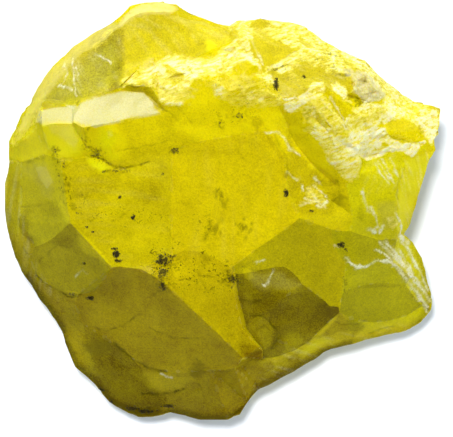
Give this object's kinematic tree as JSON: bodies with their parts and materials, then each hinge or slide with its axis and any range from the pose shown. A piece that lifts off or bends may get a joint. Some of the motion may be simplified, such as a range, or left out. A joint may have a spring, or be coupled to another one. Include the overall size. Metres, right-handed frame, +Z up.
{
  "type": "native sulfur crystal specimen",
  "caption": "Broken lump of intergrown yellow sulfur crystals, with flat facets, a frosted hackly ledge and a small embedded prism, lying on its flat back.",
  "frame": {"origin": "centre of the bounding box's base, on the flat rest face", "axes": "+Z up, out of the display side; +X along the longest extent; +Y towards the two upper lobes"},
  "size_m": [0.0624, 0.06, 0.0303],
  "materials": {
    "sulfur": "translucent, resinous, frosted on broken ground"
  },
  "bodies": {
    "root": {"sulfur_crystal": "sulfur"}
  },
  "joints": []
}
